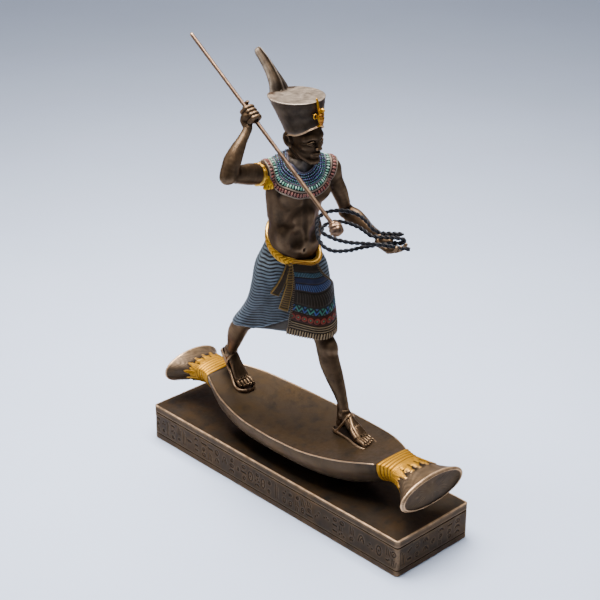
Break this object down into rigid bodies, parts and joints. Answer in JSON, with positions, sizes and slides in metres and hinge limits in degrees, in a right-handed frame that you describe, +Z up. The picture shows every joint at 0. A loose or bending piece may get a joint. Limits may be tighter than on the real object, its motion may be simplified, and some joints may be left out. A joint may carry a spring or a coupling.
{
  "type": "egyptian pharaoh statue",
  "caption": "Desk statuette in cold-cast bronze: a striding pharaoh in the Red Crown throws a harpoon from a papyrus skiff fixed on an inscribed oblong plinth.",
  "frame": {"origin": "centre of the plinth's underside", "axes": "+Z up, -Y towards the bow and the way the figure faces, -X the figure's right"},
  "size_m": [0.1036, 0.254, 0.3299],
  "materials": {
    "plinth_bronze": "dark bronze patina, dry-brushed edges",
    "skiff_bronze": "brown bronze patina with gold paint on the bindings",
    "figure_bronze": "satin brown bronze with copper highlights, painted kilt and collar",
    "rod_bronze": "copper-toned bronze",
    "rope_paint": "blue-black paint"
  },
  "bodies": {
    "root": {"plinth": "plinth_bronze", "skiff": "skiff_bronze", "figure": "figure_bronze", "harpoon": "rod_bronze", "rope_coil": "rope_paint"}
  },
  "joints": []
}
